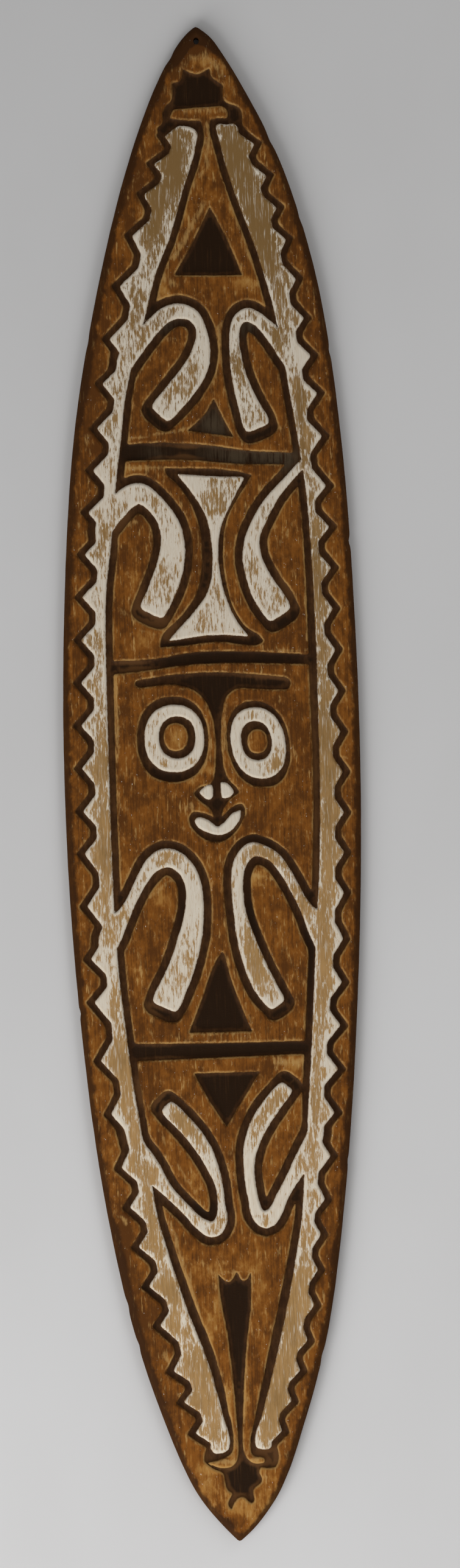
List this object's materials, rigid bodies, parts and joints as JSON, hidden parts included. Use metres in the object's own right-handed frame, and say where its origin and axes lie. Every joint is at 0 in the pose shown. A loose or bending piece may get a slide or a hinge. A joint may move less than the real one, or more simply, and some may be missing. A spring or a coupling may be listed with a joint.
{
  "type": "carved wooden shield",
  "caption": "Long leaf-shaped carved wooden board with pointed ends, a spirit face, white curling hooks, toothed side bands and a small hanging hole.",
  "frame": {"origin": "centre of the flat back, in the plane the board lies on", "axes": "+Y along the board to the tip with the hanging hole, +X across to the right of the face, +Z out of the carved front"},
  "size_m": [0.2346, 1.2, 0.016],
  "materials": {
    "carved_wood": "rubbed brown wood with a dull sheen, dark sunk ground and worn chalky white figures"
  },
  "bodies": {
    "root": {"carved_board": "carved_wood"}
  },
  "joints": []
}
